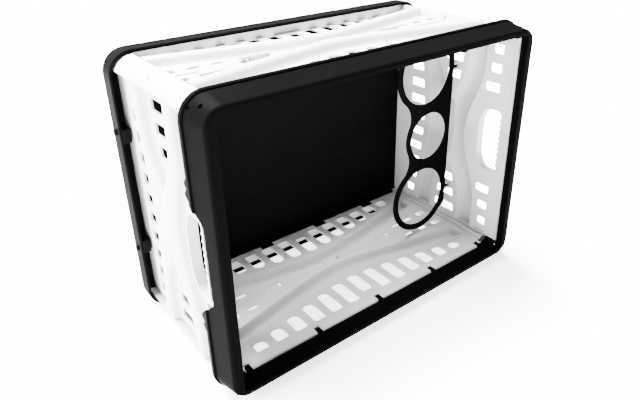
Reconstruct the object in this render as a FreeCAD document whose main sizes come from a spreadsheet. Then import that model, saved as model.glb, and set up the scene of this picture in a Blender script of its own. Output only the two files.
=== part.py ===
"""Folding crate with a bottle holder.

Every piece is drawn with the crate standing on its base: X along the long side, Y across it, Z up from
the underside of the base to the top of the rim.  Each piece is then laid on one long side, so that the
opening faces -Y and the lower long side rests on Z = 0.
"""
import FreeCAD, Part
import math
import os
from FreeCAD import Placement, Rotation, Vector

PARTS_FOLDER = "parts"

# Driving dimensions of the sheet, in millimetres.
SIZES = {
    "crate_length": 480.0,
    "crate_width": 350.0,
    "crate_height": 240.0,
    "corner_radius": 28.0,
    "skin": 2.5,
    "rim_height": 37.4,
    "rim_bead": 7.0,
    "rim_groove": 2.0,
    "rim_taper": 8.0,
    "rim_plate": 3.0,
    "opening_length": 440.0,
    "opening_width": 320.0,
    "end_lip": 10.0,
    "side_lip": 23.6,
    "ear_top": 204.0,
    "base_height": 26.0,
    "base_panel": 3.5,
    "base_wall": 3.0,
    "side_face": 160.5,
    "end_face": 225.0,
    "wave_depth": 9.5,
    "end_half_width": 153.2,
    "ear_edge": 154.0,
    "ear_radius": 24.0,
    "seam_level": 110.0,
    "seam_gap": 0.4,
    "slot_pitch": 28.4,
    "slot_width": 17.5,
    "seam_axis": 163.9,
    "seam_barrel": 3.2,
    "hinge_offset": 162.0,
    "hinge_barrel": 4.0,
    "hinge_rod": 1.5,
    "rod_play": 0.2,
    "base_hinge_level": 8.0,
    "rim_hinge_level": 212.0,
    "end_hinge_level": 224.0,
    "end_hinge_offset": 225.5,
    "end_pin": 2.0,
    "end_play": 0.3,
    "holder_plate": 3.0,
    "holder_level": 128.0,
    "holder_axis": 217.5,
    "holder_pin": 1.2,
    "large_bottle": 46.5,
    "small_bottle": 36.0,
    "large_ring": 9.0,
    "small_ring": 8.5,
    "large_spacing": 98.0,
}

LAID = Placement(Vector(0, SIZES["crate_height"] / 2, SIZES["crate_width"] / 2), Rotation(Vector(1, 0, 0), 90))
HALF_TURN = Placement(Vector(), Rotation(Vector(0, 0, 1), 180))

doc = FreeCAD.newDocument("FoldingCrate")
sheet = doc.addObject("Spreadsheet::Sheet", "Sizes")
for row, (alias, value) in enumerate(SIZES.items(), start=1):
    sheet.set("A%d" % row, alias)
    sheet.set("B%d" % row, str(value))
    sheet.setAlias("B%d" % row, alias)
doc.recompute()
size = {alias: float(sheet.get(alias)) for alias in SIZES}


# ---------------------------------------------------------------- drawing helpers

def rounded_polygon(corners):
    """Closed outline through (x, y, radius) corners, as line and arc curves."""
    count = len(corners)
    starts, ends, arcs = [], [], []
    for i, (x, y, radius) in enumerate(corners):
        here = Vector(x, y, 0)
        before = (Vector(*corners[i - 1][:2], 0) - here).normalize()
        after = (Vector(*corners[(i + 1) % count][:2], 0) - here).normalize()
        if radius <= 0:
            starts.append(here)
            ends.append(here)
            arcs.append(None)
            continue
        half = before.getAngle(after) / 2
        reach = radius / math.tan(half)
        bisector = (before + after).normalize()
        middle = here + bisector * (radius / math.sin(half) - radius)
        starts.append(here + before * reach)
        ends.append(here + after * reach)
        arcs.append(Part.Arc(starts[-1], middle, ends[-1]))
    curves = []
    for i in range(count):
        if arcs[i]:
            curves.append(arcs[i])
        follow = starts[(i + 1) % count]
        if ends[i].distanceToPoint(follow) > 1e-6:
            curves.append(Part.LineSegment(ends[i], follow))
    return curves


def rectangle(length, width, radius=0.0, centre=(0.0, 0.0)):
    cx, cy = centre
    a, b = length / 2, width / 2
    return rounded_polygon([(cx - a, cy - b, radius), (cx + a, cy - b, radius),
                            (cx + a, cy + b, radius), (cx - a, cy + b, radius)])


def span(x0, x1, y0, y1, low_radius=0.0, high_radius=None):
    """Rectangle from corner to corner, with one radius at its low end and one at its high end."""
    high = low_radius if high_radius is None else high_radius
    return rounded_polygon([(x0, y0, low_radius), (x1, y0, low_radius), (x1, y1, high), (x0, y1, high)])


def circle(x, y, radius):
    return [Part.Circle(Vector(x, y, 0), Vector(0, 0, 1), radius)]


def spline(points):
    curve = Part.BSplineCurve()
    curve.interpolate([Vector(x, y, 0) for x, y in points])
    return curve


def bump(low, high, height, flank):
    """Points of a smooth bump from one foot to the other, as (place, rise) pairs."""
    flank = min(flank, (high - low) * 0.45)
    steps = [(i / 4, (1 - math.cos(math.pi * i / 4)) / 2) for i in range(5)]
    rise = [(low + flank * t, height * r) for t, r in steps]
    fall = [(high - flank * t, height * r) for t, r in reversed(steps)]
    return rise + fall


def stations(half, count):
    return [-half + 2 * half * i / count for i in range(count + 1)]


# ---------------------------------------------------------------- body helpers

def new_body(label, placement=LAID):
    body = doc.addObject("PartDesign::Body", label)
    body.Label = label
    body.Placement = placement
    return body


def sketch(body, plane, offset, outlines):
    """Sketch on one of the body's own planes; offset is a number or a sheet expression."""
    drawing = body.newObject("Sketcher::SketchObject", "Outline")
    origin = next(f for f in body.Origin.OriginFeatures if f.Role == plane)
    drawing.AttachmentSupport = [(origin, "")]
    drawing.MapMode = "FlatFace"
    if isinstance(offset, str):
        drawing.setExpression("AttachmentOffset.Base.z", offset)
    else:
        drawing.AttachmentOffset = Placement(Vector(0, 0, offset), Rotation())
    for outline in outlines:
        drawing.addGeometry(outline, False)
    return drawing


def extrude(body, kind, drawing, length, back=False, through=False, both=False):
    feature = body.newObject("PartDesign::" + kind, kind)
    feature.Profile = drawing
    if through:
        feature.Type = "ThroughAll"
    elif isinstance(length, str):
        feature.setExpression("Length", length)
    else:
        feature.Length = length
    feature.Reversed = back
    if both:
        feature.Midplane = True
    feature.Refine = False
    return feature


def pad(body, plane, offset, outlines, length, back=False):
    return extrude(body, "Pad", sketch(body, plane, offset, outlines), length, back)


def pocket(body, plane, offset, outlines, length=None, back=False):
    through = length is None
    drawing = sketch(body, plane, offset, outlines)
    return extrude(body, "Pocket", drawing, length, back, through, both=through)


def loft(body, kind, plane, first, second):
    """Ruled loft between two (offset, outline) sections; kind is Additive or Subtractive."""
    near = sketch(body, plane, first[0], [first[1]])
    far = sketch(body, plane, second[0], [second[1]])
    feature = body.newObject("PartDesign::%sLoft" % kind, "Wave")
    feature.Profile = near
    feature.Sections = [far]
    feature.Ruled = True
    feature.Refine = False
    return feature


def ripple(body, kind, plane, places, edges, base, height, outward):
    """Smooth wave across a wall: a loft of bump-shaped slices, one at each place along the wall.

    edges(place) gives the two feet of a slice.  The bump stands on the level base and rises by height;
    outward is the sign of the direction in which it stands proud.
    """
    drawings = []
    for place in places:
        low, high = edges(place)
        points = [(outward * (base + rise), v) for v, rise in bump(low, high, height, WAVE_FLANK)]
        curve = spline(points)
        closing = Part.LineSegment(Vector(*points[-1], 0), Vector(*points[0], 0))
        offset = place if plane == "YZ_Plane" else -place
        drawings.append(sketch(body, plane, offset, [[curve, closing]]))
    feature = body.newObject("PartDesign::%sLoft" % kind, "Wave")
    feature.Profile = drawings[0]
    feature.Sections = drawings[1:]
    feature.Ruled = False
    feature.Refine = False
    return feature


def soften(body, radius, choose, kind="Fillet"):
    """Round the edges of the body's last feature for which choose(edge) is true."""
    doc.recompute()
    last = body.Tip
    names = ["Edge%d" % (i + 1) for i, edge in enumerate(last.Shape.Edges) if choose(edge)]
    feature = body.newObject("PartDesign::" + kind, kind)
    feature.Base = (last, names)
    if kind == "Fillet":
        feature.Radius = radius
    else:
        feature.Size = radius
    doc.recompute()
    return feature


def at_level(level, tolerance=0.05):
    """True for edges that lie flat at one height of the upright crate."""
    def test(edge):
        box = edge.BoundBox
        return abs(box.ZMin - level) < tolerance and abs(box.ZMax - level) < tolerance
    return test


def outside(x, y, slack=1.0):
    """True for edges that reach the outline x by y of the crate."""
    def test(edge):
        box = edge.BoundBox
        return max(abs(box.XMin), abs(box.XMax)) > x - slack or max(abs(box.YMin), abs(box.YMax)) > y - slack
    return test


# ---------------------------------------------------------------- rim frame

HINGE_PITCH = 100.0
RIM_KNUCKLES = [HINGE_PITCH * i for i in (-2, -1, 0, 1, 2)]
SEAM_TABS = [HINGE_PITCH * i for i in (-1, 0, 1)]
BASE_KNUCKLES = [HINGE_PITCH * i / 2 for i in (-3, -1, 1, 3)]
RIM_KNUCKLE_WIDTH = 7.0
BASE_KNUCKLE_WIDTH = 20.0
SEAM_TAB_WIDTH = 20.0
KNUCKLE_GAP = 0.6
END_LUG = 4.0
END_LUG_FACE = 154.6
SEAM_TAB_GAP = 5.0
SEAM_LUG = 6.0
HINGE_REACH = 203.0


def rim_frame():
    body = new_body("rim_frame")
    length, width, top = size["crate_length"], size["crate_width"], size["crate_height"]
    bottom = top - size["rim_height"]
    shoulder = bottom + size["rim_bead"]
    groove, taper, skin = 2 * size["rim_groove"], 2 * size["rim_taper"], 2 * size["skin"]
    radius = size["corner_radius"]
    bead = rectangle(length, width, radius)
    pad(body, "XY_Plane", "Sizes.crate_height - Sizes.rim_height", [bead], "Sizes.rim_bead")
    low = rectangle(length - groove, width - groove, radius - groove / 2)
    high = rectangle(length - taper, width - taper, radius - taper / 2)
    loft(body, "Additive", "XY_Plane", (shoulder - 0.5, low), ("Sizes.crate_height", high))
    high_edges = at_level(top)
    soften(body, 4.0, high_edges)
    beyond = outside(length / 2, width / 2)
    soften(body, 1.5, lambda e: at_level(bottom)(e) or (at_level(shoulder)(e) and beyond(e)))
    inner_low = rectangle(length - groove - skin, width - groove - skin, radius - (groove + skin) / 2)
    inner_high = rectangle(length - taper - skin, width - taper - skin, radius - (taper + skin) / 2)
    top_plate = "Sizes.crate_height - Sizes.rim_plate"
    loft(body, "Subtractive", "XY_Plane", (bottom - 1.0, inner_low), (top_plate, inner_high))
    hole_x, hole_y = size["opening_length"], size["opening_width"]
    lip = rectangle(hole_x + 4, hole_y + 4, 7.0)
    pad(body, "XY_Plane", "Sizes.crate_height", [lip], "Sizes.end_lip", back=True)
    for side in (-1, 1):
        strip = rectangle(hole_x - 6, 2.0, 0.5, (0, side * (hole_y / 2 + 1)))
        pad(body, "XY_Plane", "Sizes.crate_height", [strip], "Sizes.side_lip", back=True)
    opening = rectangle(hole_x, hole_y, 6.0)
    pocket(body, "XY_Plane", 0, [opening])
    rim_knuckles(body)
    rim_end_lugs(body)
    rim_handles(body)
    return body


def rim_knuckles(body):
    """Hinge knuckles that carry the long walls, bored for the rods."""
    axis_y, level, barrel = size["hinge_offset"], size["rim_hinge_level"], size["hinge_barrel"]
    blocks = [rectangle(RIM_KNUCKLE_WIDTH, 2 * barrel, 0.6, (x, side * axis_y))
              for x in RIM_KNUCKLES for side in (-1, 1)]
    pad(body, "XY_Plane", level - barrel, blocks, size["crate_height"] - 1.0 - (level - barrel))
    bore = size["hinge_rod"] + size["rod_play"]
    pocket(body, "YZ_Plane", 0, [circle(-axis_y, level, bore), circle(axis_y, level, bore)])


def rim_end_lugs(body):
    """Lugs in the four inner corners that hold the pins of the end walls."""
    x, level = size["end_hinge_offset"], size["end_hinge_level"]
    lugs = [rectangle(8.0, END_LUG, 0.6, (end * x, side * (END_LUG_FACE + END_LUG / 2)))
            for end in (-1, 1) for side in (-1, 1)]
    pad(body, "XY_Plane", level - 4.0, lugs, size["crate_height"] - 1.0 - (level - 4.0))
    bore = size["end_pin"] + 0.02
    pocket(body, "XZ_Plane", 0, [circle(-x, level, bore), circle(x, level, bore)])


def rim_handles(body):
    """Cut-backs of the skirt over the hand holes, with a hook on each side of them."""
    bottom = size["crate_height"] - size["rim_height"]
    cut = rounded_polygon([(-62, bottom - 12, 0), (62, bottom - 12, 0), (62, bottom + 2, 2), (46, bottom + 18, 4),
                           (-46, bottom + 18, 4), (-62, bottom + 2, 2)])
    for end, back in ((-1, True), (1, False)):
        drawing = sketch(body, "YZ_Plane", end * 230.0, [cut])
        extrude(body, "Pocket", drawing, 20.0, back=not back)
        hooks = [rounded_polygon([(side * 66, bottom + 2, 0), (side * 66, bottom - 4, 1.5),
                                  (side * 72, bottom - 9, 1.5), (side * 80, bottom - 4, 1.0),
                                  (side * 84, bottom - 8, 1.0), (side * 98, bottom + 2, 0)]) for side in (-1, 1)]
        drawing = sketch(body, "YZ_Plane", end * (size["crate_length"] / 2 - 1.4), hooks)
        extrude(body, "Pad", drawing, 2.4, back=end > 0)


# ---------------------------------------------------------------- base tray

def base_tray():
    body = new_body("base_tray")
    length, width, radius = size["crate_length"], size["crate_width"], size["corner_radius"]
    pad(body, "XY_Plane", 0, [rectangle(length, width, radius)], "Sizes.base_height")
    soften(body, 5.0, at_level(0.0))
    soften(body, 1.2, at_level(size["base_height"]))
    wall = 2 * size["base_wall"]
    inside = rectangle(length - wall, width - wall, radius - wall / 2)
    pocket(body, "XY_Plane", "Sizes.base_height", [inside], "Sizes.base_height - Sizes.base_panel")
    axis_y, level, barrel = size["hinge_offset"], size["base_hinge_level"], size["hinge_barrel"]
    rail_face = axis_y - barrel - 0.4
    sides = (-1, 1)
    rails = [rectangle(430.0, 2.6, 0.0, (0, side * (rail_face - 1.3))) for side in sides]
    pad(body, "XY_Plane", 2.0, rails, 10.0)
    blocks = [rectangle(BASE_KNUCKLE_WIDTH, 2 * barrel, 0.6, (x, side * axis_y))
              for x in BASE_KNUCKLES for side in sides]
    pad(body, "XY_Plane", 2.0, blocks, level + barrel - 2.0)
    leaves = [rectangle(BASE_KNUCKLE_WIDTH, 3.0, 0.6, (x, side * (axis_y - barrel + 1.5)))
              for x in BASE_KNUCKLES for side in sides]
    pad(body, "XY_Plane", level, leaves, 11.0)
    bore = size["hinge_rod"] + size["rod_play"]
    pocket(body, "YZ_Plane", 0, [circle(-axis_y, level, bore), circle(axis_y, level, bore)])
    windows = [circle(side * (CATCH_MIDDLE + 4.0), 16.0, 3.6) for side in (-1, 1)]
    pocket(body, "YZ_Plane", 0, windows)
    base_underside(body)
    return body


def base_underside(body):
    """Stacking ring and shallow recessed fields under the panel."""
    columns, rows, rib = 6, 4, 5.0
    field_x, field_y = 420.0, 290.0
    cell_x, cell_y = field_x / columns, field_y / rows
    cells = []
    for i in range(columns):
        for j in range(rows):
            centre = (-field_x / 2 + (i + 0.5) * cell_x, -field_y / 2 + (j + 0.5) * cell_y)
            cells.append(rectangle(cell_x - rib, cell_y - rib, 6.0, centre))
    pocket(body, "XY_Plane", 0, cells, 1.3, back=True)
    ring = [rectangle(446.0, 316.0, 14.0), rectangle(438.0, 308.0, 10.0)]
    pocket(body, "XY_Plane", 0, ring, 1.3, back=True)


# ---------------------------------------------------------------- long walls

WAVE_RISE = 0.235
WAVE_ROUND = 40.0
WAVE_START = 31.0
WAVE_WIDTH = 27.0
WAVE_FLANK = 10.0
WAVE_PLACES = 18
SLOT_END = 88.0
RECESS_END = 208.0


def wave_line(u):
    """Distance of the ripple's far edge from the seam."""
    return WAVE_START + WAVE_RISE * (math.hypot(u, WAVE_ROUND) - WAVE_ROUND)


def long_wall_profile():
    """Slice of a long wall: flat recessed face between two hollow corner ears."""
    face, skin, deep = -size["side_face"], size["skin"], -(size["side_face"] + size["wave_depth"])
    inner = face + skin
    radius, edge = size["ear_radius"], -size["ear_edge"]
    cy = deep + radius
    cx = size["crate_length"] / 2 - 5.0 - radius
    tip = cx + math.sqrt(radius ** 2 - (edge - cy) ** 2)
    kerb = 216.0

    def half(sign):
        angle = math.atan2(edge - cy, tip - cx)
        middle_angle = (angle - math.pi / 2) / 2
        middle = Vector(sign * (cx + radius * math.cos(middle_angle)), cy + radius * math.sin(middle_angle), 0)
        start, end = Vector(sign * cx, deep, 0), Vector(sign * tip, edge, 0)
        return start, Part.Arc(start, middle, end), end

    left_start, left_arc, left_end = half(-1)
    right_start, right_arc, right_end = half(1)
    points = [right_end, Vector(kerb, edge, 0), Vector(kerb, inner, 0), Vector(-kerb, inner, 0),
              Vector(-kerb, edge, 0), left_end]
    curves = [right_arc] + [Part.LineSegment(a, b) for a, b in zip(points, points[1:])] + [left_arc]
    outer = [left_start, Vector(-RECESS_END, face, 0), Vector(RECESS_END, face, 0), right_start]
    curves += [Part.LineSegment(a, b) for a, b in zip(outer, outer[1:])]
    voids = []
    for sign in (-1, 1):
        small = radius - skin
        top = edge - skin
        reach = cx + math.sqrt(small ** 2 - (top - cy) ** 2)
        angle = math.atan2(top - cy, reach - cx)
        middle_angle = (angle - math.pi / 2) / 2
        middle = Vector(sign * (cx + small * math.cos(middle_angle)), cy + small * math.sin(middle_angle), 0)
        start, end = Vector(sign * cx, deep + skin, 0), Vector(sign * reach, top, 0)
        ring = [end, Vector(sign * (kerb + skin), top, 0), Vector(sign * (kerb + skin), inner - skin, 0),
                Vector(sign * cx, inner - skin, 0), start]
        voids.append([Part.Arc(start, middle, end)] + [Part.LineSegment(a, b) for a, b in zip(ring, ring[1:])])
    return [curves] + voids


def long_wall_half(label, placement, to_rim):
    """One half of a folding long wall; level(v) turns distance from the seam into height."""
    body = new_body(label, placement)
    seam, gap = size["seam_level"], size["seam_gap"]
    sign = 1 if to_rim else -1
    far_end = (size["rim_hinge_level"] - seam) if to_rim else (seam - size["base_hinge_level"])
    low, high = (seam + gap / 2, seam + far_end) if to_rim else (seam - far_end, seam - gap / 2)

    def level(v):
        return seam + sign * v

    pad(body, "XY_Plane", low, long_wall_profile(), high - low)
    long_wall_wave(body, level)
    long_wall_slots(body, level)
    long_wall_hinges(body, level, far_end, to_rim)
    return body


def long_wall_wave(body, level):
    """The wave that crosses the wall: it stands proud outside and is a trough inside."""
    face, skin, depth = size["side_face"], size["skin"], size["wave_depth"]

    def edges(grow):
        def at(x):
            return sorted((level(wave_line(x) + grow), level(wave_line(x) - WAVE_WIDTH - grow)))
        return at

    bite = 0.3
    ripple(body, "Additive", "YZ_Plane", stations(RECESS_END + 1.5, WAVE_PLACES), edges(1.0), face - bite,
           depth + bite, -1)
    ripple(body, "Subtractive", "YZ_Plane", stations(RECESS_END - 3.5, WAVE_PLACES), edges(-1.0),
           face - skin - bite, depth + bite, -1)


def long_wall_slots(body, level):
    pitch, half = size["slot_pitch"], size["slot_width"] / 2
    outlines = []
    for k in range(-7, 8):
        x = k * pitch
        near, far = wave_line(x) + 10.0, SLOT_END
        if k == 0:
            far -= 8.0
        corners = [(x - half, level(near), 7.5), (x + half, level(near), 7.5),
                   (x + half, level(far), 3.0), (x - half, level(far), 3.0)]
        if far - near > 12:
            outlines.append(rounded_polygon(corners))
    for k in (5, 6, 7):
        for side in (-1, 1):
            x = side * k * pitch
            rise = 6.0 + 2.5 * (k - 5)
            corners = [(x - half + 1, level(12.0), 1.5), (x + half - 1, level(12.0), 1.5),
                       (x + half - 1, level(12.0 + rise), 4.0), (x - half + 1, level(12.0 + rise), 4.0)]
            outlines.append(rounded_polygon(corners))
    drawing = sketch(body, "XZ_Plane", size["side_face"] - 8.0, outlines)
    extrude(body, "Pocket", drawing, 20.0, back=True)


def long_wall_hinges(body, level, far_end, to_rim):
    axis_y, barrel = size["hinge_offset"], size["hinge_barrel"]
    hinge = level(far_end)
    pad(body, "YZ_Plane", -HINGE_REACH, [circle(-axis_y, hinge, barrel)], 2 * HINGE_REACH)
    knuckles = RIM_KNUCKLES if to_rim else BASE_KNUCKLES
    width = (RIM_KNUCKLE_WIDTH if to_rim else BASE_KNUCKLE_WIDTH) + 2 * KNUCKLE_GAP
    tall = 6.0 if to_rim else 12.0
    notches = [rectangle(width, 2 * tall, 0.0, (x, hinge)) for x in knuckles]
    if to_rim:
        notches += [span(*sorted((side * RECESS_END, side * (RECESS_END + 36.0))), size["ear_top"], hinge + 8.0)
                    for side in (-1, 1)]
    drawing = sketch(body, "XZ_Plane", size["side_face"] - 8.0, notches)
    extrude(body, "Pocket", drawing, 20.0, back=True)
    if not to_rim:
        long_wall_flange(body)
    seam_hinges(body, to_rim)
    bore = size["hinge_rod"] + size["rod_play"]
    bores = [circle(-axis_y, hinge, bore), circle(-size["seam_axis"], size["seam_level"], bore)]
    pocket(body, "YZ_Plane", 0, bores)


def long_wall_flange(body):
    """Flange behind the lower slots: it stands out into the tray and closes the recess over the hinge."""
    near, far = size["side_face"] - 0.5, size["side_face"] + size["wave_depth"] - 0.2
    flange = span(-RECESS_END - 1.0, RECESS_END + 1.0, -far, -near)
    pad(body, "XY_Plane", 20.1, [flange], 1.7)


def seam_hinges(body, to_rim):
    """Three tabs of the rim half reach over the seam, between lugs of the base half."""
    seam, gap, face = size["seam_level"], size["seam_gap"], size["side_face"]
    half, reach = SEAM_TAB_WIDTH / 2, 9.0
    if to_rim:
        plates = [span(x - half, x + half, seam - reach, seam + 2.0) for x in SEAM_TABS]
        pad(body, "XZ_Plane", face - size["skin"], plates, "Sizes.skin")
        seam_knuckles(body, [(x - half, x + half) for x in SEAM_TABS], 1)
        return
    notches = [span(x - half - KNUCKLE_GAP, x + half + SEAM_TAB_GAP, seam - reach - KNUCKLE_GAP, seam + 1.0)
               for x in SEAM_TABS]
    drawing = sketch(body, "XZ_Plane", face - 8.0, notches)
    extrude(body, "Pocket", drawing, 8.1, back=True)
    left, right = half + KNUCKLE_GAP, half + SEAM_TAB_GAP
    lugs = [(x - left - SEAM_LUG, x - left) for x in SEAM_TABS]
    lugs += [(x + right, x + right + SEAM_LUG) for x in SEAM_TABS]
    seam_knuckles(body, sorted(lugs), -1)


def seam_knuckles(body, spans, sign):
    """Barrels round the seam axis, standing on the outer face of their own half of the wall."""
    axis_y, barrel, face, seam = size["seam_axis"], size["seam_barrel"], size["side_face"], size["seam_level"]
    feet = [span(a, b, *sorted((seam + sign * size["seam_gap"], seam + sign * barrel))) for a, b in spans]
    pad(body, "XZ_Plane", face - 1.0, feet, axis_y - face + 1.0)
    for a, b in spans:
        pad(body, "YZ_Plane", a, [circle(-axis_y, seam, barrel)], b - a)


# ---------------------------------------------------------------- end walls

END_LOW, END_HIGH = 8.0, 224.0
GRIP_HALF = 47.0
LOWER_PITCH = 26.6
END_SLOT = 13.5
END_PLACES = 28


def lower_line(u):
    """Height of the bulge's edge next to the row of slots over the base."""
    return 79.0 - 18.0 * (abs(u) / 150.0) ** 1.5


def upper_line(u):
    """Height of the bulge's edge under the rim; it dips round the hand hole."""
    dip = (1 + math.cos(math.pi * u / 110.0)) / 2 if abs(u) < 110.0 else 0.0
    return 179.0 - 27.0 * dip


def grown(points, distance):
    """Corners of a convex outline, counter-clockwise, with every side moved outwards."""
    count = len(points)
    sides = []
    for i in range(count):
        a, b = points[i], points[(i + 1) % count]
        dx, dy = b[0] - a[0], b[1] - a[1]
        norm = math.hypot(dx, dy)
        nx, ny = dy / norm, -dx / norm
        sides.append((nx, ny, nx * a[0] + ny * a[1] + distance))
    result = []
    for i in range(count):
        (a1, b1, c1), (a2, b2, c2) = sides[i - 1], sides[i]
        det = a1 * b2 - a2 * b1
        result.append(((c1 * b2 - c2 * b1) / det, (a1 * c2 - a2 * c1) / det))
    return result


def fork(u):
    """1 in the middle of the wall, 0 at its sides: how far the two waves have run together."""
    return 1 / (1 + math.exp((abs(u) - 58.0) / 16.0))


def base_wave(grow):
    """Feet of the wave over the lower slots; in the middle it runs into the one above."""
    return lambda u: (lower_line(u) - grow, 94.0 + 46.0 * fork(u) + grow)


def rim_wave(grow):
    return lambda u: (148.0 - 46.0 * fork(u) - grow, upper_line(u) + grow)


def hand_hole(distance):
    corners = [(GRIP_HALF, 212.0), (-GRIP_HALF, 212.0), (-GRIP_HALF, 186.0), (-26.0, 176.0), (26.0, 176.0),
               (GRIP_HALF, 186.0)]
    radii = [7.0, 7.0, 12.0, 34.0, 34.0, 12.0]
    return rounded_polygon([(x, y, r + distance) for (x, y), r in zip(grown(corners, distance), radii)])


def end_wall(label, placement):
    body = new_body(label, placement)
    face, skin, depth = size["end_face"], size["skin"], size["wave_depth"]
    inner = face - skin
    half = size["end_half_width"]
    pad(body, "YZ_Plane", inner, [span(-half, half, END_LOW, END_HIGH, 3.0, 0.0)], "Sizes.skin")

    bite = 0.3
    for wave in (base_wave, rim_wave):
        ripple(body, "Additive", "XZ_Plane", stations(half, END_PLACES), wave(1.0), face - bite, depth + bite, 1)
    for wave in (base_wave, rim_wave):
        ripple(body, "Subtractive", "XZ_Plane", stations(half - skin, END_PLACES), wave(-1.0), inner - bite,
               depth + bite, 1)
    pad(body, "YZ_Plane", inner, [hand_hole(2.5)], skin + depth)
    end_wall_slots(body)
    end_wall_grip(body)
    end_wall_hinge(body)
    return body


def end_wall_slots(body):
    half = END_SLOT / 2
    outlines = [hand_hole(0.0)]
    for k in range(-5, 6):
        u = k * LOWER_PITCH
        tops = [lower_line(u - half) - 9.0, lower_line(u + half) - 9.0]
        outlines.append(rounded_polygon([(u - half, 40.0, 1.5), (u + half, 40.0, 1.5),
                                         (u + half, tops[1], 3.5), (u - half, tops[0], 3.5)]))
    rows = ((83.5, 110.0, 134.0, 109.0, 136.0),
            (109.5, 106.0, 137.0, 105.0, 139.0),
            (135.5, 102.5, 140.0, 101.5, 141.5))
    for u, low_near, high_near, low_far, high_far in rows:
        for side in (-1, 1):
            corners = [(side * (u - half), low_near, 3.0), (side * (u + half), low_far, 3.0),
                       (side * (u + half), high_far, 1.5), (side * (u - half), high_near, 1.5)]
            outlines.append(rounded_polygon(corners))
    for u, low in ((79.0, 180.0), (106.0, 186.0), (132.5, 188.5)):
        for side in (-1, 1):
            outlines.append(span(side * u - half, side * u + half, low, 204.0, 4.0, 1.5))
    for side in (-1, 1):
        for middle in (28.0, 52.0, 196.0):
            outlines.append(rectangle(1.8, 20.0, 0.6, (side * 149.6, middle)))
    drawing = sketch(body, "YZ_Plane", size["end_face"] - 20.0, outlines)
    extrude(body, "Pocket", drawing, 60.0, back=True)


def end_wall_grip(body):
    """Finger ribs between the hand hole and the hinge edge, on both faces."""
    ribs = [rectangle(7.0, 11.0, 2.0, ((i - 3) * 12.5, 217.2)) for i in range(7)]
    pad(body, "YZ_Plane", size["end_face"] - 0.1, ribs, 1.9)
    lines = [rectangle(1.0, 12.0, 0.3, ((i - 3.5) * 12.5, 217.0)) for i in range(8)]
    pad(body, "YZ_Plane", size["end_face"] - size["skin"] - 0.6, lines, 0.8)


def end_wall_hinge(body):
    half, x, level = size["end_half_width"], size["end_hinge_offset"], size["end_hinge_level"]
    pad(body, "XZ_Plane", -half, [circle(x, level, 4.0)], 2 * half)
    pocket(body, "XZ_Plane", 0, [circle(x, level, size["end_pin"] + size["end_play"])])
    axis, level = size["holder_axis"], size["holder_level"]
    inner = size["end_face"] - size["skin"]
    middles = [side * HOLDER_HOOK + offset for side in (-1, 1) for offset in (-4.1, 4.1)]
    web = 2.7
    webs = [span(y - HOLDER_LUG / 2, y + HOLDER_LUG / 2, level - web, level + web, 0.8) for y in middles]
    pad(body, "YZ_Plane", axis - web, webs, inner - axis + web + 0.5)
    pocket(body, "XZ_Plane", 0, [circle(axis, level, 1.25)])


# ---------------------------------------------------------------- bottle holder

HOLDER_HOOK = 96.5
HOLDER_LUG = 3.4
HOLDER_EDGE = 213.6


def tangent_arc(start, centre, end):
    """Arc round a centre from start to end, through the point halfway between their directions."""
    a, b = (start - centre).normalize(), (end - centre).normalize()
    middle = centre + (a + b).normalize() * (start - centre).Length
    return Part.Arc(start, middle, end)


def holder_outline():
    """Straight edge at the wall, two lobes round the large holes and a neck between them."""
    big = size["large_bottle"] + size["large_ring"]
    small = size["small_bottle"] + size["small_ring"]
    lobe = Vector(HOLDER_EDGE - 8.0 - size["large_bottle"], size["large_spacing"], 0)
    neck = Vector(HOLDER_EDGE - 8.0 - size["small_bottle"], 0, 0)
    blend = 30.0
    gap = (lobe - neck).Length
    near, far = big + blend, small + blend
    along = (far ** 2 - near ** 2 + gap ** 2) / (2 * gap)
    across = math.sqrt(far ** 2 - along ** 2)
    line = (lobe - neck).normalize()
    side = Vector(-line.y, line.x, 0)
    hollow = neck + line * along + side * across
    neck_touch = hollow + (neck - hollow).normalize() * blend
    lobe_touch = hollow + (lobe - hollow).normalize() * blend
    top = lobe + Vector(0, big, 0)
    corner = Vector(HOLDER_EDGE, lobe.y + 30.0, 0)

    def mirror(v):
        return Vector(v.x, -v.y, 0)

    shoulder = lobe + Vector(math.sin(0.9) * big, math.cos(0.9) * big, 0)
    halfway = lobe + Vector(math.sin(0.5) * big, math.cos(0.5) * big, 0)
    curves = [tangent_arc(neck_touch, hollow, lobe_touch),
              Part.Arc(lobe_touch, lobe + Vector(-big, 0, 0), top),
              Part.Arc(top, halfway, shoulder)]
    curves += [Part.LineSegment(shoulder, corner), Part.LineSegment(corner, mirror(corner)),
               Part.LineSegment(mirror(corner), mirror(shoulder)),
               Part.Arc(mirror(shoulder), mirror(halfway), mirror(top)),
               Part.Arc(mirror(top), mirror(lobe + Vector(-big, 0, 0)), mirror(lobe_touch)),
               tangent_arc(mirror(lobe_touch), mirror(hollow), mirror(neck_touch)),
               Part.Arc(mirror(neck_touch), neck + Vector(-small, 0, 0), neck_touch)]
    return curves


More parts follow.
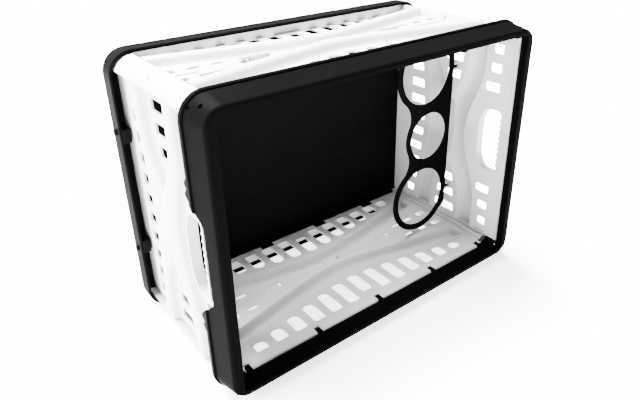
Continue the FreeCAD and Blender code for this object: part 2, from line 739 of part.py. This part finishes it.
def bottle_holder():
    body = new_body("bottle_holder")
    level, plate = size["holder_level"], size["holder_plate"]
    low = level - plate / 2
    lobe_x = HOLDER_EDGE - 8.0 - size["large_bottle"]
    neck_x = HOLDER_EDGE - 8.0 - size["small_bottle"]
    pad(body, "XY_Plane", "Sizes.holder_level - Sizes.holder_plate / 2", [holder_outline()], "Sizes.holder_plate")
    holes = [circle(lobe_x, side * size["large_spacing"], size["large_bottle"]) for side in (-1, 1)]
    holes.append(circle(neck_x, 0, size["small_bottle"]))
    pocket(body, "XY_Plane", 0, holes)
    soften(body, 0.7, lambda e: at_level(low)(e) or at_level(low + plate)(e))
    axis = size["holder_axis"]
    for side in (-1, 1):
        y = side * HOLDER_HOOK - 1.9
        pad(body, "XZ_Plane", -y, [circle(axis, level, 2.7)], 3.8, back=True)
        pad(body, "XZ_Plane", -y, [span(HOLDER_EDGE - 2.0, axis, level - 1.5, level + 1.5)], 3.8, back=True)
    pocket(body, "XZ_Plane", 0, [circle(axis, level, 1.25)])
    return body


# ---------------------------------------------------------------- rods, pins and catches

def rod(label, parent, centre, direction, length, radius):
    """Cylinder of the document, standing at centre and running along direction."""
    pin = doc.addObject("Part::Cylinder", label)
    pin.Label = label
    pin.setExpression("Radius", radius)
    pin.Height = length
    start = centre - direction * (length / 2)
    pin.Placement = parent.multiply(Placement(start, Rotation(Vector(0, 0, 1), direction)))
    return pin


def group(label, members):
    for number, member in enumerate(members, start=1):
        member.Label = "%s_%d" % (label, number)
    joined = doc.addObject("Part::Compound", label)
    joined.Label = label
    joined.Links = members
    return joined


def long_wall_rods(name, placement):
    along = Vector(1, 0, 0)
    axis_y = -size["hinge_offset"]
    rods = []
    for place in ("base", "rim"):
        level = size[place + "_hinge_level"]
        centre = Vector(0, axis_y, level)
        rods.append(rod("%s_wall_%s_rod" % (name, place), placement, centre, along, 2 * HINGE_REACH + 2,
                        "Sizes.hinge_rod"))
    left = SEAM_TAB_WIDTH / 2 + KNUCKLE_GAP + SEAM_LUG
    right = SEAM_TAB_WIDTH / 2 + SEAM_TAB_GAP + SEAM_LUG
    pins = [rod("pin", placement, Vector(x + (right - left) / 2, -size["seam_axis"], size["seam_level"]), along,
                left + right, "Sizes.hinge_rod") for x in SEAM_TABS]
    rods.append(group(name + "_wall_seam_pins", pins))
    return rods


def end_wall_pins(label, placement):
    centre = (size["end_hinge_offset"], 150.6, size["end_hinge_level"])
    pins = [rod("pin", placement, Vector(centre[0], side * centre[1], centre[2]), Vector(0, 1, 0), 16.0,
                "Sizes.end_pin") for side in (-1, 1)]
    return group(label, pins)


def holder_pins():
    pins = [rod("pin", LAID, Vector(size["holder_axis"], side * HOLDER_HOOK, size["holder_level"]), Vector(0, 1, 0),
                12.4, "Sizes.holder_pin") for side in (-1, 1)]
    return group("holder_pins", pins)


CATCH_MIDDLE = 76.0


def base_catches(label, placement):
    """Two snap catches that hold the foot of an end wall, each with a lug through the tray's side."""
    catches = []
    wall_face = size["crate_length"] / 2 - size["base_wall"]
    for side in (-1, 1):
        block = doc.addObject("Part::Box", "Block")
        block.Length, block.Width, block.Height = 9.5, 18.0, 24.0
        block.Placement.Base = Vector(wall_face - 9.7, side * CATCH_MIDDLE - 9.0, size["base_panel"] + 0.2)
        lug = doc.addObject("Part::Cylinder", "Lug")
        lug.Radius, lug.Height = 3.4, 8.0
        lug.Placement = Placement(Vector(wall_face - 2.0, side * (CATCH_MIDDLE + 4.0), 16.0),
                                  Rotation(Vector(0, 1, 0), 90))
        joined = doc.addObject("Part::Fuse", "Catch")
        joined.Base, joined.Tool = block, lug
        edge = doc.addObject("Part::Fillet", "CatchEdges")
        doc.recompute()
        edge.Base = joined
        top = size["base_panel"] + 24.2
        edge.Edges = [(i + 1, 1.5, 1.5) for i, e in enumerate(joined.Shape.Edges) if at_level(top)(e)]
        edge.Placement = placement
        catches.append(edge)
    return group(label, catches)


def main():
    pieces = [rim_frame(), base_tray()]
    upper = LAID.multiply(HALF_TURN)
    for name, placement in (("lower", LAID), ("upper", upper)):
        pieces.append(long_wall_half(name + "_wall_base_half", placement, to_rim=False))
        pieces.append(long_wall_half(name + "_wall_rim_half", placement, to_rim=True))
        pieces += long_wall_rods(name, placement)
    for name, placement in (("right", LAID), ("left", upper)):
        pieces.append(end_wall(name + "_end_wall", placement))
        pieces.append(end_wall_pins(name + "_end_pins", placement))
        pieces.append(base_catches(name + "_base_catches", placement))
    pieces += [bottle_holder(), holder_pins()]
    doc.recompute()
    for item in doc.Objects:
        if "Invalid" in item.State or "Error" in item.State:
            raise RuntimeError("failed: %s in %s" % (item.Label, item.State))
    os.makedirs(PARTS_FOLDER, exist_ok=True)
    for piece in pieces:
        shape = piece.Shape
        if shape.isNull() or not shape.isValid():
            raise RuntimeError("bad shape: " + piece.Label)
        shape.exportStep(os.path.join(PARTS_FOLDER, piece.Label + ".step"))
        box = shape.BoundBox
        print("%-24s %8.1f cm3 solids %d box %s" % (
            piece.Label, shape.Volume / 1000, len(shape.Solids),
            [round(n, 1) for n in (box.XMin, box.XMax, box.YMin, box.YMax, box.ZMin, box.ZMax)]))


main()
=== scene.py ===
"""Looks of the folding crate: moulded plastic, hinge wire, small moulded details, floor, light and camera."""
import math

import bpy
from bpy.props import FloatProperty, FloatVectorProperty, PointerProperty
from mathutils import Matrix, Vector


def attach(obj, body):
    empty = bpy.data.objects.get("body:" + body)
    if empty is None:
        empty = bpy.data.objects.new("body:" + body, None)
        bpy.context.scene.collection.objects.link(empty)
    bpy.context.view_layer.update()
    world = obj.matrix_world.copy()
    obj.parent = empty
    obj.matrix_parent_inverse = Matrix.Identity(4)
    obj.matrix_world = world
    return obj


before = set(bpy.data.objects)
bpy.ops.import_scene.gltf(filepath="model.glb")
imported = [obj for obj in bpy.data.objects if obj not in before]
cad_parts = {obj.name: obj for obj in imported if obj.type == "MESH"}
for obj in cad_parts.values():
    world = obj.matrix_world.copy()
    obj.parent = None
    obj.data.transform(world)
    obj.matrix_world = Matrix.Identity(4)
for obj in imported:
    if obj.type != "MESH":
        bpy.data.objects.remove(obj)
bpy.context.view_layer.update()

bl_info = {
    "name": "Folding Crate Looks",
    "version": (1, 0, 0),
    "blender": (4, 5, 0),
    "location": "3D View > Sidebar > Crate",
    "description": "Finishes, moulded details and studio for a folding crate",
    "category": "Object",
}

WHITE_NODES = ("lower_wall_base_half", "lower_wall_rim_half", "upper_wall_base_half", "upper_wall_rim_half",
               "left_end_wall", "right_end_wall")
RIM_NODES = ("rim_frame",)
BASE_NODES = ("base_tray", "left_base_catches", "right_base_catches")
HOLDER_NODES = ("bottle_holder",)
PIN_NODES = ("left_end_pins", "right_end_pins", "holder_pins")
WIRE_NODES = ("lower_wall_base_rod", "lower_wall_rim_rod", "lower_wall_seam_pins", "upper_wall_base_rod",
              "upper_wall_rim_rod", "upper_wall_seam_pins")

# Places in the frame, in metres.
MIDDLE = 0.175                # height of the crate's middle plane, lying on its long side
WALL_FACE = 0.1605            # from there to the outer face of a long wall
HOLDER_PLANE = -0.008         # the middle of the holder's plate
# Centre in x and z, and radius, of each bottle hole.
HOLES = ((0.1591, 0.273, 0.0465), (0.1696, 0.175, 0.036), (0.1591, 0.077, 0.0465))
BEAD_GAP = 0.0004             # from a hole's edge to its bead
# Along x, the four gaps between the seam hinges.
LIP_SPANS = ((-0.205, -0.119), (-0.077, -0.019), (0.023, 0.081), (0.123, 0.205))
LIP_DEPTH = (0.0078, 0.0122)  # along y, on both sides of the seam
LIP_BITE = 0.0002             # how far a lip sinks into the wall
LIP_EDGE = 0.0003
TEETH = 9
TOOTH_PLACE = (0.2286, -0.0915)     # x on the right side, and y
TOOTH_LENGTH = 0.0115
TOOTH_EDGE = 0.0005
COVER = ((-0.176, -0.0045, 0.3354), (-0.123, 0.0072, 0.3368))
COVER_EDGE = 0.0006
SMOOTH_BELOW = math.radians(35)     # sharper edges stay sharp

# Sockets of a colour Mix node.
FACTOR, COLOUR_A, COLOUR_B, MIXED = 0, 6, 7, 2

# The stage.
FLOOR_DROP = 0.0005           # how far the floor lies under the crate
FLOOR_GLOW = 3.2
WORLD_GLOW = 0.1
# Name, place, target, power in watts and width of each lamp.
LAMPS = (("top_softbox", (-0.3, 1.5, 3.2), (0, 0, 0.2), 4000.0, 2.6),
         ("side_softbox", (-3.2, 0.8, 1.4), (0, 0, 0.15), 1400.0, 2.0),
         ("front_softbox", (-1.4, -3.0, 0.75), (0, 0, 0.12), 24.0, 0.5))
SENSOR_WIDTH = 36.0           # millimetres
LENS_SHIFT = (-0.00494, -0.05805)
NEAR_CLIP = 0.01


# ------------------------------------------------------------------ settings

class CrateFinish(bpy.types.PropertyGroup):
    """Colours and surface of the crate's plastics and wire."""
    wall_colour: FloatVectorProperty(name="Wall colour", description="White plastic of the walls",
                                     subtype="COLOR", size=4, min=0, max=1, default=(0.44, 0.44, 0.44, 1))
    rim_colour: FloatVectorProperty(name="Rim colour", description="Black plastic of the rim",
                                    subtype="COLOR", size=4, min=0, max=1,
                                    default=(0.0010, 0.0010, 0.00105, 1))
    base_colour: FloatVectorProperty(name="Base colour", description="Black plastic of the base",
                                     subtype="COLOR", size=4, min=0, max=1,
                                     default=(0.0020, 0.0020, 0.0020, 1))
    wire_colour: FloatVectorProperty(name="Wire colour", description="Steel of the hinge rods",
                                     subtype="COLOR", size=4, min=0, max=1, default=(0.52, 0.52, 0.53, 1))
    grain_size: FloatProperty(name="Grain", description="Width of the moulded grain", subtype="DISTANCE",
                              default=0.0006, min=0.0001, max=0.005)


class CrateDetail(bpy.types.PropertyGroup):
    """Small moulded details, in metres."""
    bead: FloatProperty(name="Ring bead", description="Radius of the bead round a bottle hole", unit="LENGTH",
                        default=0.0019, min=0.0015, max=0.003)
    tooth: FloatProperty(name="Grip tooth", description="Radius of a tooth in the hand hole", unit="LENGTH",
                         default=0.0022, min=0.001, max=0.004)
    tooth_pitch: FloatProperty(name="Tooth pitch", description="Distance between two teeth", unit="LENGTH",
                               default=0.0085, min=0.005, max=0.02)
    lip: FloatProperty(name="Seam lip", description="Thickness of the lip behind a seam", unit="LENGTH",
                       default=0.0011, min=0.0005, max=0.002)


class CrateStudio(bpy.types.PropertyGroup):
    """Camera, floor and lights."""
    camera_place: FloatVectorProperty(name="Camera place", description="Where the camera stands",
                                      subtype="TRANSLATION", size=3, unit="LENGTH",
                                      default=(-0.42103, -0.53865, 0.50574))
    camera_azimuth: FloatProperty(name="Azimuth", description="Turn of the view about the vertical",
                                  subtype="ANGLE", default=math.radians(-36.78))
    camera_height: FloatProperty(name="Elevation", description="Angle of the view above the horizontal",
                                 subtype="ANGLE", default=math.radians(25.46))
    camera_roll: FloatProperty(name="Roll", description="Turn of the camera about its own axis",
                               subtype="ANGLE", default=math.radians(-1.35))
    camera_lens: FloatProperty(name="Lens", description="Focal length in millimetres", default=32.34)
    floor_size: FloatProperty(name="Floor", description="Side of the floor", unit="LENGTH", default=14.0)


# ------------------------------------------------------------------ mesh helpers

def deselect():
    """Nothing selected and object mode, as before each new piece."""
    if bpy.context.object and bpy.context.object.mode != "OBJECT":
        bpy.ops.object.mode_set(mode="OBJECT")
    bpy.ops.object.select_all(action="DESELECT")


def bar(low, high, radius):
    """A box between two corners with rounded edges."""
    deselect()
    size = Vector(high) - Vector(low)
    bpy.ops.mesh.primitive_cube_add(size=1.0, location=(Vector(low) + Vector(high)) / 2)
    made = bpy.context.object
    made.scale = size
    bpy.ops.object.transform_apply(location=True, rotation=True, scale=True)
    bpy.ops.object.mode_set(mode="EDIT")
    bpy.ops.mesh.select_all(action="SELECT")
    bpy.ops.mesh.bevel(offset=radius, segments=3, affect="EDGES")
    bpy.ops.object.mode_set(mode="OBJECT")
    return made


def joined(pieces, name, like, body):
    """One finished piece out of several, in the material of a CAD node, riding on a body."""
    deselect()
    for piece in pieces:
        piece.select_set(True)
    bpy.context.view_layer.objects.active = pieces[0]
    if len(pieces) > 1:
        bpy.ops.object.join()
    made = bpy.context.object
    bpy.ops.object.transform_apply(location=True, rotation=True, scale=True)
    made.name = name
    made.data.name = name
    made.data.materials.clear()
    made.data.materials.append(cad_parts[like].data.materials[0])
    bpy.ops.object.shade_smooth_by_angle(angle=SMOOTH_BELOW)
    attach(made, body)
    return made


# ------------------------------------------------------------------ materials

def node(tree, kind, place, **values):
    """A shader node at a place of the node editor, with inputs and settings given by name."""
    made = tree.nodes.new(kind)
    made.location = place
    for name, value in values.items():
        if name in made.inputs:
            made.inputs[name].default_value = value
        else:
            setattr(made, name, value)
    return made


def ramp(tree, place, low, high, start=0.0, end=1.0):
    """Carries start to end over to low to high."""
    made = node(tree, "ShaderNodeMapRange", place)
    made.inputs["From Min"].default_value = start
    made.inputs["From Max"].default_value = end
    made.inputs["To Min"].default_value = low
    made.inputs["To Max"].default_value = high
    return made


def new_material(name):
    """A material, with its node tree and its shader."""
    material = bpy.data.materials.new(name)
    material.use_nodes = True
    return material, material.node_tree, material.node_tree.nodes["Principled BSDF"]


def moulded_plastic(name, colour, grain, rough, spread, mottle, depth, scuff, shine, corner, painted_nook_shade):
    """Injection-moulded plastic: faint flow mottle, fine grain, sparse scuffs and painted shade in nooks."""
    material, tree, shader = new_material(name)
    where = node(tree, "ShaderNodeTexCoord", (-1300, 0)).outputs["Object"]

    flow = node(tree, "ShaderNodeTexNoise", (-1050, 250), Scale=14.0, Detail=4.0, Roughness=0.55)
    tree.links.new(where, flow.inputs["Vector"])
    tint = node(tree, "ShaderNodeMix", (-500, 300), data_type="RGBA")
    tint.inputs[COLOUR_A].default_value = [channel * (1 - mottle) for channel in colour[:3]] + [1]
    tint.inputs[COLOUR_B].default_value = [min(1.0, channel * (1 + mottle)) for channel in colour[:3]] + [1]
    tree.links.new(flow.outputs["Fac"], tint.inputs[FACTOR])

    stretch = node(tree, "ShaderNodeMapping", (-1050, -60), Rotation=(0.4, 0.9, 0.3), Scale=(1.0, 9.0, 1.0))
    tree.links.new(where, stretch.inputs["Vector"])
    scratch = node(tree, "ShaderNodeTexNoise", (-850, -60), Scale=55.0, Detail=2.0, Roughness=0.6)
    tree.links.new(stretch.outputs["Vector"], scratch.inputs["Vector"])
    marks = ramp(tree, (-650, -60), 0.0, 1.0, 0.66, 0.80)
    tree.links.new(scratch.outputs["Fac"], marks.inputs["Value"])
    amount = ramp(tree, (-450, 60), 0.0, 0.35)
    tree.links.new(marks.outputs["Result"], amount.inputs["Value"])
    worn = node(tree, "ShaderNodeMix", (-250, 300), data_type="RGBA")
    worn.inputs[COLOUR_B].default_value = scuff
    tree.links.new(amount.outputs["Result"], worn.inputs[FACTOR])
    tree.links.new(tint.outputs[MIXED], worn.inputs[COLOUR_A])
    # Painted shade: ambient occlusion darkens the base colour in corners, creases, slots and seams.
    nook = node(tree, "ShaderNodeAmbientOcclusion", (-650, 560), samples=6, Distance=0.014)
    depth_shade = ramp(tree, (-450, 560), 1.0 - painted_nook_shade, 1.0, 0.1, 0.85)
    tree.links.new(nook.outputs["AO"], depth_shade.inputs["Value"])
    shaded = node(tree, "ShaderNodeMix", (-100, 400), data_type="RGBA", blend_type="MULTIPLY")
    shaded.inputs[FACTOR].default_value = 1.0
    tree.links.new(worn.outputs[MIXED], shaded.inputs[COLOUR_A])
    tree.links.new(depth_shade.outputs["Result"], shaded.inputs[COLOUR_B])
    tree.links.new(shaded.outputs[MIXED], shader.inputs["Base Color"])

    gloss = ramp(tree, (-450, -220), rough - spread, rough + spread, 0.3, 0.7)
    tree.links.new(flow.outputs["Fac"], gloss.inputs["Value"])
    tree.links.new(gloss.outputs["Result"], shader.inputs["Roughness"])

    texture = node(tree, "ShaderNodeTexNoise", (-850, -420), Scale=1.0 / grain, Detail=2.0, Roughness=0.6)
    tree.links.new(where, texture.inputs["Vector"])
    relief = node(tree, "ShaderNodeBump", (-450, -420), Strength=depth, Distance=grain * 0.5)
    soft_edge = node(tree, "ShaderNodeBevel", (-650, -600), samples=4, Radius=corner)
    tree.links.new(soft_edge.outputs["Normal"], relief.inputs["Normal"])
    tree.links.new(texture.outputs["Fac"], relief.inputs["Height"])
    tree.links.new(relief.outputs["Normal"], shader.inputs["Normal"])
    shader.inputs["IOR"].default_value = 1.49
    shader.inputs["Specular IOR Level"].default_value = shine
    return material


def drawn_wire(name, colour):
    """Bright steel wire with fine marks along its length."""
    material, tree, shader = new_material(name)
    place = node(tree, "ShaderNodeTexCoord", (-900, 0))
    along = node(tree, "ShaderNodeMapping", (-700, 0), Scale=(0.05, 1.0, 1.0))
    tree.links.new(place.outputs["Object"], along.inputs["Vector"])
    lines = node(tree, "ShaderNodeTexNoise", (-500, 0), Scale=2500.0, Detail=3.0)
    tree.links.new(along.outputs["Vector"], lines.inputs["Vector"])
    rough = ramp(tree, (-300, -100), 0.22, 0.42)
    tree.links.new(lines.outputs["Fac"], rough.inputs["Value"])
    tree.links.new(rough.outputs["Result"], shader.inputs["Roughness"])
    tint = node(tree, "ShaderNodeMix", (-300, 200), data_type="RGBA")
    tint.inputs[COLOUR_A].default_value = [channel * 0.8 for channel in colour[:3]] + [1]
    tint.inputs[COLOUR_B].default_value = colour
    tree.links.new(lines.outputs["Fac"], tint.inputs[FACTOR])
    tree.links.new(tint.outputs[MIXED], shader.inputs["Base Color"])
    shader.inputs["Metallic"].default_value = 1.0
    return material


def finish_nodes(names, material):
    """Gives CAD nodes their finish."""
    for name in names:
        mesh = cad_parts[name].data
        mesh.materials.clear()
        mesh.materials.append(material)


# ------------------------------------------------------------------ operators

class CRATE_OT_walls(bpy.types.Operator):
    """White plastic on the folding walls"""
    bl_idname = "crate.walls"
    bl_label = "White walls"

    def execute(self, context):
        finish = context.scene.crate_finish
        # The last argument sets how far painted shade darkens the nooks of the white plastic.
        white = moulded_plastic("white_polypropylene", finish.wall_colour, finish.grain_size, rough=0.42,
                                spread=0.05, mottle=0.012, depth=0.12, scuff=(0.38, 0.38, 0.37, 1),
                                shine=0.22, corner=0.0007, painted_nook_shade=0.7)
        finish_nodes(WHITE_NODES, white)
        return {"FINISHED"}


class CRATE_OT_frame(bpy.types.Operator):
    """Black plastic on the rim, base, catches, holder and pins"""
    bl_idname = "crate.frame"
    bl_label = "Black frame"

    def execute(self, context):
        finish = context.scene.crate_finish
        # The last shared setting sets how far painted shade darkens the nooks of the black plastic.
        shared = {"mottle": 0.10, "shine": 0.001, "corner": 0.0008, "painted_nook_shade": 0.3}
        rim = moulded_plastic("rim_polypropylene", finish.rim_colour, finish.grain_size, rough=0.38,
                              spread=0.06, depth=0.25, scuff=(0.004, 0.004, 0.004, 1), **shared)
        base = moulded_plastic("base_polypropylene", finish.base_colour, finish.grain_size, rough=0.50,
                               spread=0.05, depth=0.30, scuff=(0.003, 0.003, 0.003, 1), **shared)
        finish_nodes(RIM_NODES + PIN_NODES + HOLDER_NODES, rim)
        finish_nodes(BASE_NODES, base)
        return {"FINISHED"}


class CRATE_OT_wire(bpy.types.Operator):
    """Bright wire on the hinge rods"""
    bl_idname = "crate.wire"
    bl_label = "Hinge wire"

    def execute(self, context):
        steel = drawn_wire("bright_wire", context.scene.crate_finish.wire_colour)
        finish_nodes(WIRE_NODES, steel)
        return {"FINISHED"}


class CRATE_OT_beads(bpy.types.Operator):
    """Rounded bead round each bottle hole"""
    bl_idname = "crate.beads"
    bl_label = "Holder beads"

    def execute(self, context):
        bead = context.scene.crate_detail.bead
        rings = []
        for x, z, radius in HOLES:
            deselect()
            bpy.ops.mesh.primitive_torus_add(major_radius=radius + bead + BEAD_GAP, minor_radius=bead,
                                             major_segments=96, minor_segments=16,
                                             location=(x, HOLDER_PLANE, z), rotation=(math.pi / 2, 0, 0))
            rings.append(bpy.context.object)
        joined(rings, "holder_ring_beads", "bottle_holder", "holder")
        return {"FINISHED"}


class CRATE_OT_teeth(bpy.types.Operator):
    """Finger teeth along the upper edge of both hand holes"""
    bl_idname = "crate.teeth"
    bl_label = "Grip teeth"

    def execute(self, context):
        detail = context.scene.crate_detail
        for side, name in ((-1, "left"), (1, "right")):
            teeth = []
            for i in range(TEETH):
                deselect()
                height = MIDDLE + (i - TEETH // 2) * detail.tooth_pitch
                bpy.ops.mesh.primitive_cylinder_add(vertices=24, radius=detail.tooth, depth=TOOTH_LENGTH,
                                                    location=(side * TOOTH_PLACE[0], TOOTH_PLACE[1], height),
                                                    rotation=(0, math.pi / 2, 0))
                bpy.ops.object.mode_set(mode="EDIT")
                bpy.ops.mesh.select_all(action="SELECT")
                bpy.ops.mesh.bevel(offset=TOOTH_EDGE, segments=2, affect="EDGES")
                bpy.ops.object.mode_set(mode="OBJECT")
                teeth.append(bpy.context.object)
            joined(teeth, name + "_grip_teeth", name + "_end_wall", name + "_wall")
        return {"FINISHED"}


class CRATE_OT_lips(bpy.types.Operator):
    """Lip behind the seam of each long wall, between the seam hinges"""
    bl_idname = "crate.lips"
    bl_label = "Seam lips"

    def execute(self, context):
        lip = context.scene.crate_detail.lip
        for side, name in ((1, "lower"), (-1, "upper")):
            level = MIDDLE - side * WALL_FACE
            low, high = sorted((level + side * LIP_BITE, level - side * lip))
            spans = [sorted((side * a, side * b)) for a, b in LIP_SPANS]
            bars = [bar((a, LIP_DEPTH[0], low), (b, LIP_DEPTH[1], high), LIP_EDGE) for a, b in spans]
            joined(bars, name + "_seam_lip", name + "_wall_base_half", "root")
        return {"FINISHED"}


class CRATE_OT_cover(bpy.types.Operator):
    """Long cover beside a seam hinge on the outside of the upper wall"""
    bl_idname = "crate.cover"
    bl_label = "Seam cover"

    def execute(self, context):
        plate = bar(*COVER, COVER_EDGE)
        joined([plate], "upper_seam_cover", "upper_wall_rim_half", "root")
        return {"FINISHED"}


class CRATE_OT_stage(bpy.types.Operator):
    """Floor, soft light and camera"""
    bl_idname = "crate.stage"
    bl_label = "Studio"

    def execute(self, context):
        studio = context.scene.crate_studio
        add_floor(studio)
        add_world()
        for lamp in LAMPS:
            add_lamp(*lamp)
        add_camera(context, studio)
        return {"FINISHED"}


def add_floor(studio):
    """Pale floor under the crate that gives off light of its own."""
    deselect()
    bpy.ops.mesh.primitive_plane_add(size=studio.floor_size, location=(0, 0, -FLOOR_DROP))
    floor = bpy.context.object
    floor.name = "studio_floor"
    material, _, shader = new_material("pale_paper")
    shader.inputs["Base Color"].default_value = (0.92, 0.92, 0.92, 1)
    shader.inputs["Roughness"].default_value = 0.9
    shader.inputs["Emission Color"].default_value = (1, 1, 1, 1)
    shader.inputs["Emission Strength"].default_value = FLOOR_GLOW
    floor.data.materials.append(material)


def add_world():
    """Faint even light from all round."""
    world = bpy.data.worlds.new("studio")
    bpy.context.scene.world = world
    world.use_nodes = True
    back = world.node_tree.nodes["Background"]
    back.inputs["Color"].default_value = (1, 1, 1, 1)
    back.inputs["Strength"].default_value = WORLD_GLOW


def add_lamp(name, place, target, power, width):
    """A square soft lamp at a place, turned to its target."""
    deselect()
    bpy.ops.object.light_add(type="AREA", location=place)
    lamp = bpy.context.object
    lamp.name = name
    lamp.data.energy = power
    lamp.data.shape = "SQUARE"
    lamp.data.size = width
    lamp.rotation_euler = (Vector(target) - Vector(place)).to_track_quat("-Z", "Y").to_euler()


def add_camera(context, studio):
    """Camera at a fixed place, turned by azimuth, elevation and roll."""
    azimuth, height, roll = studio.camera_azimuth, studio.camera_height, studio.camera_roll
    right = Vector((math.cos(azimuth), math.sin(azimuth), 0))
    level = math.cos(height)
    back = Vector((math.sin(azimuth) * level, -math.cos(azimuth) * level, math.sin(height)))
    up = back.cross(right)
    turned_right = math.cos(roll) * right + math.sin(roll) * up
    turned_up = -math.sin(roll) * right + math.cos(roll) * up
    deselect()
    bpy.ops.object.camera_add(location=studio.camera_place)
    camera = bpy.context.object
    camera.name = "studio_camera"
    turn = camera.matrix_world.copy()
    for column, axis in enumerate((turned_right, turned_up, back, studio.camera_place)):
        for row in range(3):
            turn[row][column] = axis[row]
    camera.matrix_world = turn
    camera.data.lens = studio.camera_lens
    camera.data.sensor_width = SENSOR_WIDTH
    camera.data.shift_x, camera.data.shift_y = LENS_SHIFT
    camera.data.clip_start = NEAR_CLIP
    context.scene.camera = camera


class CRATE_PT_panel(bpy.types.Panel):
    """Sidebar list of the crate's steps"""
    bl_label = "Folding crate"
    bl_idname = "CRATE_PT_panel"
    bl_space_type = "VIEW_3D"
    bl_region_type = "UI"
    bl_category = "Crate"

    def draw(self, context):
        for operator in OPERATORS:
            self.layout.operator(operator.bl_idname)
        scene = context.scene
        for group, kind in ((scene.crate_finish, CrateFinish), (scene.crate_detail, CrateDetail)):
            for name in kind.__annotations__:
                self.layout.prop(group, name)


OPERATORS = (CRATE_OT_walls, CRATE_OT_frame, CRATE_OT_wire, CRATE_OT_beads, CRATE_OT_teeth, CRATE_OT_lips,
             CRATE_OT_cover, CRATE_OT_stage)
CLASSES = (CrateFinish, CrateDetail, CrateStudio) + OPERATORS + (CRATE_PT_panel,)


def register():
    for each in CLASSES:
        bpy.utils.register_class(each)
    bpy.types.Scene.crate_finish = PointerProperty(type=CrateFinish)
    bpy.types.Scene.crate_detail = PointerProperty(type=CrateDetail)
    bpy.types.Scene.crate_studio = PointerProperty(type=CrateStudio)


def unregister():
    del bpy.types.Scene.crate_studio
    del bpy.types.Scene.crate_detail
    del bpy.types.Scene.crate_finish
    for each in reversed(CLASSES):
        bpy.utils.unregister_class(each)


def main():
    register()
    for operator in OPERATORS:
        group, name = operator.bl_idname.split(".")
        getattr(getattr(bpy.ops, group), name)()
    deselect()


if __name__ == "__main__":
    main()
